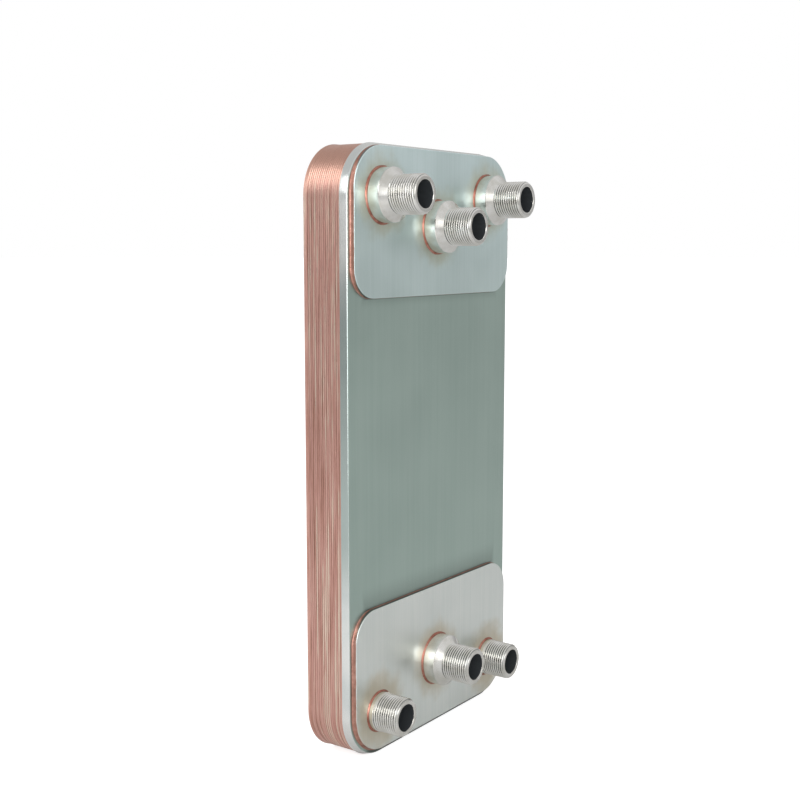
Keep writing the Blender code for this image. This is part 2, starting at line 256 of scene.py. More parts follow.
class Nodes:
    """Short calls that add nodes to one tree and link them."""

    def __init__(self, tree):
        self.tree = tree

    def add(self, kind, settings=(), **inputs):
        """Add a node, set its properties, and fill or link its inputs."""
        prefix = "Node" if kind.startswith("Group") else "ShaderNode"
        node = self.tree.nodes.new(prefix + kind)
        for key, value in dict(settings).items():
            setattr(node, key, value)
        for label, value in inputs.items():
            key = int(label[1:]) if label[1:].isdigit() else label.replace("_", " ")
            self.fill(node.inputs[key], value)
        return node

    def fill(self, socket, value):
        """Link a socket, or set it when the value is a plain one."""
        if isinstance(value, bpy.types.NodeSocket):
            self.tree.links.new(value, socket)
        else:
            socket.default_value = value

    def use_group(self, group, **inputs):
        """Place a node group and return its outputs."""
        node = self.tree.nodes.new("ShaderNodeGroup")
        node.node_tree = group
        for label, value in inputs.items():
            self.fill(node.inputs[label.replace("_", " ")], value)
        return node.outputs

    def math(self, operation, first, second=0.0, third=0.0, clamp=False):
        """One Math node."""
        settings = {"operation": operation, "use_clamp": clamp}
        node = self.add("Math", settings, i0=first, i1=second, i2=third)
        return node.outputs[0]

    def noise(self, vector, scale=1.0, detail=2.0, roughness=0.5, distortion=0.0):
        """One Noise node's value."""
        node = self.add(
            "TexNoise", Vector=vector, Scale=scale, Detail=detail,
            Roughness=roughness, Distortion=distortion,
        )
        return node.outputs["Fac"]

    def place(self):
        """Object coordinates."""
        return self.add("TexCoord").outputs["Object"]

    def place_parts(self):
        """Object coordinates as X, Y and Z."""
        return self.add("SeparateXYZ", Vector=self.place()).outputs

    def stretch(self, scale):
        """Object coordinates, stretched by a scale along each axis."""
        node = self.add("Mapping", Vector=self.place(), Scale=scale)
        return node.outputs["Vector"]

    def ramp(self, value, stops):
        """A colour ramp through (place, colour) stops."""
        node = self.add("ValToRGB", i0=value)
        elements = node.color_ramp.elements
        while len(elements) < len(stops):
            elements.new(0.5)
        for element, (place, colour) in zip(elements, stops):
            element.position = place
            element.color = rgb(*colour)
        return node.outputs["Color"]

    def between(self, value, low, high, to_low=0.0, to_high=1.0):
        """A smooth Map Range: to_low at low, to_high at high."""
        node = self.add(
            "MapRange", SMOOTH_STEP, i0=value, i1=low, i2=high, i3=to_low, i4=to_high
        )
        return node.outputs[0]

    def mix(self, factor, first, second, blend="MIX"):
        """Mix two colours."""
        settings = {"data_type": "RGBA", "blend_type": blend}
        node = self.add("Mix", settings, i0=factor, i6=first, i7=second)
        return node.outputs[2]

    def multiply(self, colour, by):
        """Darken or tint a colour by another one, or by a value."""
        return self.mix(1.0, colour, by, blend="MULTIPLY")


def rgb(red, green, blue):
    """A colour with full alpha."""
    return (red, green, blue, 1)


def new_material(name):
    """A material with its node helper and its Principled shader."""
    material = bpy.data.materials.new(name)
    material.use_nodes = True
    nodes = Nodes(material.node_tree)
    shader = material.node_tree.nodes["Principled BSDF"]
    return material, nodes, shader


def metal_surface(nodes, shader, colour, rough, bump):
    """Fill a metal's shader; bump is its height, strength and depth."""
    height, strength, depth = bump
    node = nodes.add("Bump", Strength=strength, Distance=depth, Height=height)
    nodes.fill(shader.inputs["Base Color"], colour)
    nodes.fill(shader.inputs["Roughness"], rough)
    nodes.fill(shader.inputs["Normal"], node.outputs[0])
    shader.inputs["Metallic"].default_value = 1.0


WHITE = rgb(1, 1, 1)

# %% [markdown]
# ### Rolled grain
# Rolled sheet has a fine grain along the direction it was rolled in, and soft
# patches where it was wiped or touched. Two stretched noises give the grain,
# a broad one gives the patches.

# %% Group: rolled grain
GRAIN_STRETCH = (900, 900, 12)
PATCH_SCALE = 14
COARSE_SCALE = 0.23
COARSE_SHARE = 0.4
PATCH_DISTORTION = 0.4


def make_grain_group():
    """Fine lines along one axis, and soft patches."""
    group = new_group(
        "rolled_grain",
        [("Stretch", "Vector", GRAIN_STRETCH), ("Patch Scale", "Float", PATCH_SCALE)],
        ["Lines", "Patches", "Height"],
    )
    nodes = Nodes(group)
    given = nodes.add("GroupInput").outputs
    place = nodes.place()
    stretched = nodes.add(
        "VectorMath", VECTOR_MULTIPLY, i0=place, i1=given["Stretch"]
    ).outputs[0]
    fine = nodes.noise(stretched, detail=3, roughness=0.6)
    coarse = nodes.noise(stretched, COARSE_SCALE)
    share = nodes.math("MULTIPLY", fine, 1 - COARSE_SHARE)
    lines = nodes.math("MULTIPLY_ADD", coarse, COARSE_SHARE, share)
    patches = nodes.noise(
        place, given["Patch Scale"], detail=3, distortion=PATCH_DISTORTION
    )
    nodes.add("GroupOutput", Lines=lines, Patches=patches, Height=fine)
    return group


GRAIN_GROUP = make_grain_group()
print("group", GRAIN_GROUP.name)

# %% [markdown]
# ### Heat halos
# Brazing heats the whole piece in a vacuum oven, and copper vapour leaves a
# faint brown halo round each joint. The halo's strength falls with the
# distance from the port's axis, and a noise makes its edge wander.

# %% Group: heat halo round three ports
HALO_INNER = 22 * MM
HALO_OUTER = 42 * MM
HALO_WANDER = 20 * MM
HALO_CLOUDS = 60
PORT_INPUTS = ("Port 1", "Port 2", "Port 3")


def make_halo_group():
    """A mask that is strongest next to three port axes."""
    axes = [(label, "Vector", (0, 0, 0)) for label in PORT_INPUTS]
    reach = [("Inner", "Float", HALO_INNER), ("Outer", "Float", HALO_OUTER)]
    group = new_group("port_halo", axes + reach, ["Halo"])
    nodes = Nodes(group)
    given = nodes.add("GroupInput").outputs
    place = nodes.place()
    flat = nodes.add("VectorMath", VECTOR_MULTIPLY, i0=place, i1=(1, 0, 1)).outputs[0]
    distance = {"operation": "DISTANCE"}
    away = [
        nodes.add("VectorMath", distance, i0=flat, i1=given[label]).outputs["Value"]
        for label in PORT_INPUTS
    ]
    nearest = nodes.math("MINIMUM", nodes.math("MINIMUM", away[0], away[1]), away[2])
    cloud = nodes.noise(place, HALO_CLOUDS, detail=3)
    wander = nodes.math("MULTIPLY_ADD", cloud, HALO_WANDER, nearest)
    wander = nodes.math("SUBTRACT", wander, HALO_WANDER / 2)
    halo = nodes.between(wander, given["Inner"], given["Outer"], 1.0, 0.0)
    nodes.add("GroupOutput", Halo=halo)
    return group


HALO_GROUP = make_halo_group()
print("group", HALO_GROUP.name)

# %% [markdown]
# ## Finish: the covers and the reinforcement plates
# Both are stainless sheet with a dull rolled surface: two greys mixed by the
# grain, a roughness that follows the patches, and a faint bump. On top of that
# each kind of sheet has its own marks, which come from masks in the object's
# own coordinates. The reinforcement plates are a little lighter, and painted
# light makes them brighter towards the top and a little towards the right. They
# have the halos, which are also duller, and painted shade makes their cut edge darker than
# their face.

# %% Marks of the reinforcement plates
HALO_TINT = rgb(0.74, 0.63, 0.50)
HALO_STRENGTH = 0.75
HALO_DULLNESS = 0.20
# Painted light: the plates are painted darker low down and brighter high up, leaning a little
# to the right.
PAINTED_LIGHT_FROM = 0.40
PAINTED_LIGHT_FULL = 0.53
PAINTED_LIGHT_LEAN = 0.2
PAINTED_LIGHT_DIM = rgb(0.90, 0.90, 0.90)
PAINTED_LIGHT_BRIGHT = rgb(1.06, 1.06, 1.08)
PLATE_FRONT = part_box("top_reinforcement_plate")[0].y
# Painted shade: the colour of the plates' cut edge, and where it starts on the edge.
CUT_EDGE_SHADE = rgb(0.20, 0.20, 0.19)
CUT_EDGE_SHADE_FROM = PLATE_FRONT + 0.5 * MM
CUT_EDGE_SHADE_FULL = PLATE_FRONT + 0.9 * MM


def port_point(port):
    """A port's axis as a point for the halo group."""
    x, z = AXES[port]
    return (x, 0, z)


def mark_plate(nodes, colour, rough, ports):
    """Halos at the ports, painted light on the upper half and painted shade on the cut edge.
    """
    points = {f"Port_{n + 1}": port_point(port) for n, port in enumerate(ports)}
    halo = nodes.use_group(HALO_GROUP, **points)["Halo"]
    tint = nodes.mix(nodes.math("MULTIPLY", halo, HALO_STRENGTH), WHITE, HALO_TINT)
    colour = nodes.multiply(colour, tint)
    rough = nodes.math("MULTIPLY_ADD", halo, HALO_DULLNESS, rough)
    place = nodes.place_parts()
    # Painted light, brighter towards the top and a little towards the right.
    rise = nodes.math("MULTIPLY_ADD", place["X"], PAINTED_LIGHT_LEAN, place["Z"])
    painted_light = nodes.between(rise, PAINTED_LIGHT_FROM, PAINTED_LIGHT_FULL)
    colour = nodes.multiply(colour, nodes.mix(painted_light, PAINTED_LIGHT_DIM, PAINTED_LIGHT_BRIGHT))
    # Painted shade on the cut edge.
    edge = nodes.between(place["Y"], CUT_EDGE_SHADE_FROM, CUT_EDGE_SHADE_FULL)
    return nodes.mix(edge, colour, CUT_EDGE_SHADE), rough


# %% [markdown]
# The cover is darker right at the plates' inner edges, with painted shade: a
# narrow dark line and a soft broad one at each plate. They end where the
# plates' corners turn away. The skirt was drawn over a polished die, so it is
# smoother than the face; its colour is painted lighter, as a painted highlight,
# and painted shade darkens it along the middle of its height.

# %% Marks of the covers
# Painted shade: the colour the cover darkens to at the plates' inner edges, and the reach and
# depth of each dark band.
PAINTED_EDGE_SHADE = rgb(0.10, 0.08, 0.07)
SHADE_BELOW_TOP_PLATE = ((1.4 * MM, 0.40), (9 * MM, 0.86))
SHADE_ABOVE_BOTTOM_PLATE = ((1.6 * MM, 0.30), (22 * MM, 0.74))
PLATE_CORNER_FROM = 94 * MM
PLATE_CORNER_PAST = 108 * MM
# The skirt's two colours are painted lighter than the face's, a painted highlight, and the
# middle colour is painted shade along the middle of its height.
SKIRT_PAINTED_DARK = rgb(0.66, 0.70, 0.69)
SKIRT_PAINTED_LIGHT = rgb(0.80, 0.81, 0.79)
SKIRT_MIDDLE_SHADE = rgb(0.36, 0.43, 0.41)
SKIRT_MIDDLE_SHADE_TOP = (0.44, 0.36)
SKIRT_MIDDLE_SHADE_FOOT = (0.12, 0.20)
SKIRT_MIDDLE_SHADE_SHARE = 0.85
SKIRT_POLISH = -0.14
SKIRT_PATCHES = (0.35, 0.65)
SKIRT_FROM = FACE_Y + 0.02 * MM
SKIRT_FULL = SKIRT_FROM + 0.3 * MM
SKIRT_END = cover_high.y + 1 * MM


def unshaded_cover(nodes, place):
    """How free of painted shade the cover is: least at the plates' inner edges, 1 away from
    them.
    """
    top_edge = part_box("top_reinforcement_plate")[0].z
    bottom_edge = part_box("bottom_reinforcement_plate")[1].z
    below = nodes.math("SUBTRACT", top_edge, place["Z"])
    above = nodes.math("SUBTRACT", place["Z"], bottom_edge)
    free_of_stain_and_shade = 1.0
    for gap, bands in ((below, SHADE_BELOW_TOP_PLATE), (above, SHADE_ABOVE_BOTTOM_PLATE)):
        for reach, at_edge in bands:
            band = nodes.between(gap, 0.0, reach, at_edge, 1.0)
            free_of_stain_and_shade = nodes.math("MULTIPLY", band, free_of_stain_and_shade)
    across = nodes.math("ABSOLUTE", place["X"])
    past = nodes.between(across, PLATE_CORNER_FROM, PLATE_CORNER_PAST)
    rear = nodes.math("GREATER_THAN", place["Y"], SKIRT_END)
    return nodes.math("MAXIMUM", nodes.math("MAXIMUM", free_of_stain_and_shade, past), rear)


def mark_cover(nodes, grain, colour, rough):
    """Painted shade at the plates' inner edges, and a skirt painted lighter, with painted
    shade along its middle.
    """
    place = nodes.place_parts()
    # Painted shade at the plates' inner edges.
    colour = nodes.multiply(colour, nodes.mix(unshaded_cover(nodes, place), PAINTED_EDGE_SHADE, WHITE))
    # Painted highlight on the skirt, and painted shade across its middle.
    patches = nodes.between(grain["Patches"], *SKIRT_PATCHES)
    painted_skirt = nodes.mix(patches, SKIRT_PAINTED_DARK, SKIRT_PAINTED_LIGHT)
    middle = nodes.math(
        "MULTIPLY", nodes.between(place["Z"], *SKIRT_MIDDLE_SHADE_TOP),
        nodes.between(place["Z"], *SKIRT_MIDDLE_SHADE_FOOT),
    )
    share = nodes.math("MULTIPLY", middle, SKIRT_MIDDLE_SHADE_SHARE)
    painted_skirt = nodes.mix(share, painted_skirt, SKIRT_MIDDLE_SHADE)
    skirt = nodes.math(
        "MULTIPLY", nodes.between(place["Y"], SKIRT_FROM, SKIRT_FULL),
        nodes.math("LESS_THAN", place["Y"], SKIRT_END),
    )
    rough = nodes.math("MULTIPLY_ADD", skirt, SKIRT_POLISH, rough)
    return nodes.mix(skirt, colour, painted_skirt), rough


# %% Stainless sheet materials
LINES_SHARE = 0.7
PATCHES_SHARE = 0.5
LIGHT_RANGE = (0.35, 0.85)
POLISHED = -0.05
DULLED = 0.07
SHEET_BUMP = (0.12, 0.04 * MM)


def sheet_material(name, dark, light, roughness, ports=()):
    """Rolled stainless sheet: a plate's when it has ports, or a cover's."""
    material, nodes, shader = new_material(name)
    grain = nodes.use_group(GRAIN_GROUP)
    lines = nodes.math("MULTIPLY", grain["Lines"], LINES_SHARE)
    blend = nodes.math("MULTIPLY_ADD", grain["Patches"], PATCHES_SHARE, lines, clamp=True)
    colour = nodes.mix(nodes.between(blend, *LIGHT_RANGE), rgb(*dark), rgb(*light))
    rough = (roughness + POLISHED, roughness + DULLED)
    rough = nodes.between(grain["Patches"], *MOST_NOISE, *rough)
    if ports:
        colour, rough = mark_plate(nodes, colour, rough, ports)
    else:
        colour, rough = mark_cover(nodes, grain, colour, rough)
    metal_surface(nodes, shader, colour, rough, (grain["Height"], *SHEET_BUMP))
    return material


COVER_FINISH = sheet_material(
    "cover_sheet", (0.385, 0.49, 0.445), (0.435, 0.535, 0.49), 0.34
)
# The two reinforcement plates are one steel in lit and shaded copies: the bottom plate's
# colours are painted lighter, the top plate's darker and greener.
TOP_PLATE_FINISH = sheet_material(
    "top_plate_sheet", (0.64, 0.77, 0.75), (0.73, 0.85, 0.84), 0.36, PORTS[:3]
)
BOTTOM_PLATE_FINISH = sheet_material(
    "bottom_plate_sheet", (0.80, 0.85, 0.82), (0.90, 0.93, 0.90), 0.36, PORTS[3:]
)
print("finishes", COVER_FINISH.name, TOP_PLATE_FINISH.name, BOTTOM_PLATE_FINISH.name)

# %% [markdown]
# ## Finish: brazed copper
# Molten copper creeps along the joints and freezes in streaks. Along the
# stack each layer has its own tint, from pink to tan to brown, which changes
# slowly round the stack. Rounding the depth to whole layers before it goes
# into a noise gives each layer its own slow variation, and a white noise of the
# layer's number gives it a step of its own. Near the foot a few layers are
# pale, because the copper drained off them. Painted light makes the upper part of
# the stack and its foot lighter, painted shade makes the joint behind the front cover darker,
# and the top, where the copper collected, is one even colour.

# %% Group: the layers of the stack
FIRST_RIM_Y = cover_high.y
LAYER_PITCH = (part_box("channel_plate_16")[1].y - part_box("channel_plate_01")[1].y) / 15
LAYER_APART = 3.7
SLOW_SCALE = 14
STREAK_SCALE = (60, 2600, 60)
LUMP_SCALE = (420, 1100, 420)
STREAKS_IN_HEIGHT = 0.6
LAYER_STEP = 0.14
PALE_LAYERS = 0.72
PALE_STEP = 0.16
PALE_FROM = 0.26
PALE_FULL = 0.12
# Painted light: where the copper is lifted lighter, in the upper part of the stack and
# towards its foot, and by how much.
PAINTED_LIGHT_BANDS = ((0.28, 0.38, 0.09), (0.20, 0.12, 0.04))
# Painted shade: how dark the copper is right behind the front cover's rim, and over how much
# of a layer.
FIRST_GROOVE_SHADE = 0.45
FIRST_GROOVE_SHADE_WIDTH = 0.22
TOP_FROM = 0.492
TOP_FULL = 0.508
TOP_WANDER = 20 * MM
TOP_CLOUDS = 25


def layer_tint(nodes, place, layer):
    """A layer's tint: slow changes round the stack, and a step of its own."""
    slow = nodes.add(
        "CombineXYZ", X=nodes.math("MULTIPLY", place["X"], SLOW_SCALE),
        Y=nodes.math("MULTIPLY", layer, LAYER_APART),
        Z=nodes.math("MULTIPLY", place["Z"], SLOW_SCALE),
    )
    tint = nodes.noise(slow.outputs[0], detail=3, roughness=0.55)
    own = nodes.add("TexWhiteNoise", {"noise_dimensions": "1D"}, W=layer).outputs["Value"]
    tint = nodes.math("MULTIPLY_ADD", nodes.math("SUBTRACT", own, 0.5), LAYER_STEP, tint)
    pale = nodes.math("GREATER_THAN", own, PALE_LAYERS)
    low = nodes.between(place["Z"], PALE_FROM, PALE_FULL)
    tint = nodes.math("MULTIPLY_ADD", nodes.math("MULTIPLY", pale, low), PALE_STEP, tint)
    # Painted light: lighter in the upper part of the stack and towards its foot.
    for start, full, lift in PAINTED_LIGHT_BANDS:
        tint = nodes.math("ADD", tint, nodes.between(place["Z"], start, full, 0.0, lift))
    return tint


def make_layer_group():
    """Tints that belong to one layer of the stack, and streaks along it."""
    group = new_group(
        "layer_tint", [("Layers", "Float", 2.0)],
        ["Tint", "Streaks", "Height", "Groove", "Top"],
    )
    nodes = Nodes(group)
    layers = nodes.add("GroupInput").outputs["Layers"]
    place = nodes.place_parts()
    depth = nodes.math("SUBTRACT", place["Y"], FIRST_RIM_Y)
    depth = nodes.math("DIVIDE", depth, LAYER_PITCH)
    layer = nodes.math("FLOOR", nodes.math("MULTIPLY", depth, layers))
    streaks = nodes.noise(nodes.stretch(STREAK_SCALE), detail=3, roughness=0.65)
    lumps = nodes.noise(nodes.stretch(LUMP_SCALE), detail=3, roughness=0.6)
    height = nodes.math("MULTIPLY_ADD", streaks, STREAKS_IN_HEIGHT, lumps)
    # Painted shade right behind the front cover's rim.
    groove = nodes.between(depth, 0.0, FIRST_GROOVE_SHADE_WIDTH, FIRST_GROOVE_SHADE, 1.0)
    cloud = nodes.noise(nodes.place(), TOP_CLOUDS)
    rise = nodes.math("MULTIPLY_ADD", cloud, TOP_WANDER, place["Z"])
    top = nodes.between(rise, TOP_FROM, TOP_FULL)
    tint = layer_tint(nodes, place, layer)
    outputs = {"Tint": tint, "Streaks": streaks, "Height": height}
    nodes.add("GroupOutput", **outputs, Groove=groove, Top=top)
    return group


LAYER_GROUP = make_layer_group()
print(f"group {LAYER_GROUP.name}, one layer every {LAYER_PITCH / MM:.3f} mm")

# %% Copper along the side of the stack
COPPER_STOPS = (
    (0.30, (0.40, 0.21, 0.16)),
    (0.42, (0.56, 0.30, 0.245)),
    (0.55, (0.66, 0.37, 0.315)),
    (0.66, (0.72, 0.46, 0.38)),
    (0.74, (0.80, 0.64, 0.52)),
)
TOP_COPPER = rgb(0.61, 0.36, 0.285)
STREAKS_IN_TINT = 0.35
STREAK_SHINE = 0.08
STACK_BUMP = (0.16, 0.1 * MM)


def stack_material(name, shade, roughness):
    """Copper and copper-stained steel along the side of the stack."""
    material, nodes, shader = new_material(name)
    layer = nodes.use_group(LAYER_GROUP)
    streaks = layer["Streaks"]
    value = nodes.math("MULTIPLY_ADD", streaks, STREAKS_IN_TINT, layer["Tint"])
    value = nodes.math("SUBTRACT", value, STREAKS_IN_TINT / 2)
    colour = nodes.ramp(value, COPPER_STOPS)
    colour = nodes.mix(layer["Top"], colour, TOP_COPPER)
    # Painted shade behind the front cover's rim.
    colour = nodes.multiply(colour, nodes.math("MULTIPLY", layer["Groove"], shade))
    rough = (roughness + STREAK_SHINE, roughness - STREAK_SHINE)
    rough = nodes.between(streaks, *MOST_NOISE, *rough)
    metal_surface(nodes, shader, colour, rough, (layer["Height"], *STACK_BUMP))
    return material


SEAM_FINISH = stack_material("seam_copper", 1.0, 0.36)
CHANNEL_FINISH = stack_material("channel_sheet", 1.03, 0.33)
print("finishes", SEAM_FINISH.name, CHANNEL_FINISH.name)

# %% Copper in the fillets
FILLET_CLOUDS = 160
FILLET_LUMPS = 900
LUMP_FOOT = -0.08
LUMP_TOP = 0.1
FILLET_BUMP = (0.4, 0.2 * MM)
PLATE_BRAZE_STOPS = (
    (0.3, (0.33, 0.17, 0.13)),
    (0.5, (0.46, 0.235, 0.185)),
    (0.7, (0.56, 0.31, 0.25)),
)
RING_BRAZE_STOPS = (
    (0.3, (0.28, 0.12, 0.085)),
    (0.5, (0.41, 0.17, 0.125)),
    (0.7, (0.52, 0.27, 0.21)),
)


def fillet_material(name, stops, roughness):
    """Copper in an open fillet: lumpy, with darker patches."""
    material, nodes, shader = new_material(name)
    clouds = nodes.noise(nodes.place(), FILLET_CLOUDS, detail=3, roughness=0.6)
    lumps = nodes.noise(nodes.place(), FILLET_LUMPS)
    colour = nodes.ramp(clouds, stops)
    rough = (roughness + LUMP_FOOT, roughness + LUMP_TOP)
    rough = nodes.between(lumps, *MOST_NOISE, *rough)
    metal_surface(nodes, shader, colour, rough, (lumps, *FILLET_BUMP))
    return material


PLATE_BRAZE_FINISH = fillet_material("plate_braze", PLATE_BRAZE_STOPS, 0.42)
RING_BRAZE_FINISH = fillet_material("ring_braze", RING_BRAZE_STOPS, 0.36)
print("finishes", PLATE_BRAZE_FINISH.name, RING_BRAZE_FINISH.name)

# %% [markdown]
# ## Finish: machined connectors
# A lathe leaves fine rings round the axis. They are narrow bands in the
# depth coordinate, because every connector's axis points to the front. Painted
# shade makes the roots of the thread dark: each point of the thread stores
# how deep it lies in an attribute, which the finish reads. The bore wall is
# painted dark and dull, as painted shade.

# %% Machined steel and bore materials
MACHINED_STAINED = rgb(0.66, 0.645, 0.60)
MACHINED_CLEAN = rgb(0.80, 0.79, 0.765)
# Painted shade in the roots of the thread.
THREAD_ROOT_SHADE = rgb(0.30, 0.31, 0.30)
STAIN_SCALE = 90
STAIN_RANGE = (0.35, 0.7)
ROOT_RANGE = (0.40, 0.95)
LATHE_ROUGH = (0.14, 0.22)
BORE_ROUGH = (0.6, 0.8)
LATHE_RINGS = (8, 5200, 8)
LATHE_BUMP = (0.2, 0.03 * MM)
BORE_RINGS = (8, 1800, 8)
# Painted shade: the bore wall is painted near black.
BORE_SHADE_DARK = rgb(0.022, 0.026, 0.029)
BORE_SHADE_LIGHT = rgb(0.040, 0.046, 0.050)


def machined_material(name):
    """Bright turned stainless, with painted shade in the roots of the thread."""
    material, nodes, shader = new_material(name)
    groove = nodes.add("Attribute", {"attribute_name": "groove"}).outputs["Fac"]
    rings = nodes.noise(nodes.stretch(LATHE_RINGS))
    stain = nodes.noise(nodes.place(), STAIN_SCALE, detail=3)
    free_of_stain_and_shade = nodes.between(stain, *STAIN_RANGE)
    colour = nodes.mix(free_of_stain_and_shade, MACHINED_STAINED, MACHINED_CLEAN)
    # Painted shade in the roots of the thread.
    colour = nodes.mix(nodes.between(groove, *ROOT_RANGE), colour, THREAD_ROOT_SHADE)
    rough = nodes.between(rings, *MOST_NOISE, *LATHE_ROUGH)
    metal_surface(nodes, shader, colour, rough, (rings, *LATHE_BUMP))
    return material


def bore_material(name):
    """The dull wall inside a connector, painted dark as painted shade."""
    material, nodes, shader = new_material(name)
    rings = nodes.noise(nodes.stretch(BORE_RINGS))
    nodes.fill(shader.inputs["Base Color"], nodes.mix(rings, BORE_SHADE_DARK, BORE_SHADE_LIGHT))
    rough = nodes.between(rings, *MOST_NOISE, *BORE_ROUGH)
    nodes.fill(shader.inputs["Roughness"], rough)
    return material


CONNECTOR_FINISH = machined_material("machined_steel")
BORE_FINISH = bore_material("bore_wall")
print("finishes", CONNECTOR_FINISH.name, BORE_FINISH.name)

# %% [markdown]
# ## The covers
# A cover is a shallow pan. From the rim inwards, the skirt narrows a little
# because the pans nest, then a small bend turns it into the flat floor. The
# bend is drawn as an arc in eight steps, because the light that runs along it
# is one of the first things one sees on the real cover. One more narrow ring
# holds the floor flat next to the bend. The rear cover's skirt is the last
# layer of the stack and carries the stack's copper on its outer side, so its
# skirt and floor take their finishes from four slots: Solidify moves a face's
# slot on by one for the inner side.

# %% Build the covers
BEND_RADIUS = 1.5 * MM
BEND_STEPS = 8
HOLDING_RING = 0.5 * MM
SPIGOT_HOLE = 14.5 * MM
HOLE_SEGMENTS = 64
FLARE_ANGLE = math.asin((CHANNEL_SHEET + NEST_GAP) / LAYER_PITCH)
FLARE = math.tan(FLARE_ANGLE)
RIM_LIP = COVER_SHEET * math.sin(FLARE_ANGLE)
REAR_FINISHES = (COVER_FINISH, COVER_FINISH, SEAM_FINISH, COVER_FINISH)
SKIRT_SLOT = 2
SKIRT_LEAN = 0.5


def pan_steps(depth, bend_radius):
    """Insets from the rim to the floor: the skirt, then the bend."""
    turn = math.pi / 2 - FLARE_ANGLE
    setback = bend_radius * math.tan(turn / 2)
    marks = [(0.0, 0.0)]
    for step in range(BEND_STEPS, -1, -1):
        angle = turn * step / BEND_STEPS
        inward = depth * FLARE + setback - bend_radius * math.sin(angle)
        marks.append((inward, depth - bend_radius * (1 - math.cos(angle))))
    marks.append((marks[-1][0] + HOLDING_RING, depth))
    return [(b[0] - a[0], b[1] - a[1]) for a, b in zip(marks, marks[1:])]


def pan_mesh(half_width, low, high, radius, rim_y, depth, bend_radius):
    """A pan from its rim to its floor, and the flat face of the floor."""
    mesh = bmesh.new()
    face = rounded_face(mesh, half_width, low, high, radius, radius, rim_y)
    face = draw_rings(mesh, face, pan_steps(depth, bend_radius))
    return mesh, face


def cover_mesh(rim_y, depth, ports=()):
    """A cover's open surface, with a hole for each port."""
    shape = (HALF_WIDTH, 0.0, HEIGHT, CORNER_RADIUS, rim_y, depth, BEND_RADIUS)
    mesh, face = pan_mesh(*shape)
    holes = [(AXES[port], SPIGOT_HOLE, rim_y - depth, HOLE_SEGMENTS) for port in ports]
    if holes:
        cut_holes(mesh, face, holes)
    face_front(mesh)
    return mesh


def build_front_cover():
    """The front cover; returns its depth."""
    depth = cover_high.y - RIM_LIP - FACE_Y
    mesh = cover_mesh(FACE_Y + depth, depth, PORTS)
    piece = finish_piece("front_cover_plate", mesh, [COVER_FINISH])
    add_sheet(piece, COVER_SHEET)
    return depth


def build_rear_cover():
    """The rear cover, with copper on its skirt's outer side; returns its depth."""
    depth = rear_high.y - RIM_LIP - rear_low.y
    mesh = cover_mesh(rear_low.y + depth, depth)
    for face in mesh.faces:
        if abs(face.normal.y) < SKIRT_LEAN:
            face.material_index = SKIRT_SLOT
    piece = finish_piece("rear_cover_plate", mesh, REAR_FINISHES)
    sheet = add_sheet(piece, COVER_SHEET)
    sheet.material_offset = 1
    sheet.material_offset_rim = 1
    return depth


COVER_DEPTH = build_front_cover()
REAR_DEPTH = build_rear_cover()
print(f"front cover {COVER_DEPTH / MM:.2f} mm deep, rear cover {REAR_DEPTH / MM:.2f} mm")

# %% [markdown]
# ## The channel plates
# Sixteen thin pans nest inside one another. Each has herringbone folds that
# point up on one plate and down on the next, so the folds cross and touch, and
# the brazing joins them at thousands of points. A grid with one column on each
# side of the middle line makes a fold per row, and moving the middle column up
# makes the herringbone. A narrow column at each side runs the folds out flat.
# Every other plate opens the centre ports and presses the rims of the corner
# ports back to meet the next plate, and the plates between do the opposite.

# %% Build the channel plates
FIELD_HALF_WIDTH = 106 * MM
FIELD_MARGIN = 105 * MM
CHEVRON_RISE = 50 * MM
FIELD_FOLDS = 60
FIELD_COLUMNS = (0.0, 0.95, 1.0)
FOLD_HEIGHT = (LAYER_PITCH - CHANNEL_SHEET - NEST_GAP) / 2
CHANNEL_DEPTH = COVER_DEPTH + LAYER_PITCH - COVER_SHEET - NEST_GAP - FOLD_HEIGHT
CHANNEL_RIM_LIP = CHANNEL_SHEET * math.sin(FLARE_ANGLE)
CHANNEL_PORT = 15 * MM
PORT_SEAL = 20 * MM
PORT_SEAL_RISE = 2 * FOLD_HEIGHT
CHANNEL_SEGMENTS = 32
CHANNEL_BEND = 0.8 * MM
CENTRE_PORTS = ("top_centre", "bottom_centre")


def herringbone_edges(mesh, direction, y):
    """Make the folded field of a channel plate and return its flat border."""
    length = HEIGHT - 2 * FIELD_MARGIN - CHEVRON_RISE
    last = len(FIELD_COLUMNS) - 1
    grid = bmesh.ops.create_grid(
        mesh, x_segments=2 * last, y_segments=FIELD_FOLDS, size=0.5,
        matrix=TURN_UPRIGHT,
    )["verts"]
    for vert in grid:
        fold = round((vert.co.z + 0.5) * FIELD_FOLDS)
        column = round(vert.co.x * 2 * last)
        across = math.copysign(FIELD_COLUMNS[abs(column)], column)
        rise = CHEVRON_RISE * (0.5 - abs(across)) * direction
        folded = 0 < fold < FIELD_FOLDS and abs(column) < last
        vert.co.x = across * FIELD_HALF_WIDTH
        vert.co.y = y + FOLD_HEIGHT * (-1) ** fold * folded
        vert.co.z = HEIGHT / 2 + vert.co.z * length + rise
    grid = set(grid)
    return [e for e in mesh.edges if e.is_boundary and set(e.verts) <= grid]


def sealed_port_edges(mesh, axis, y):
    """A port whose rim is pressed back to meet the next plate."""
    outer = circle_edges(mesh, axis, PORT_SEAL, y, CHANNEL_SEGMENTS)
    inner = circle_edges(
        mesh, axis, CHANNEL_PORT, y + PORT_SEAL_RISE, CHANNEL_SEGMENTS
    )
    bmesh.ops.bridge_loops(mesh, edges=outer + inner)
    return outer


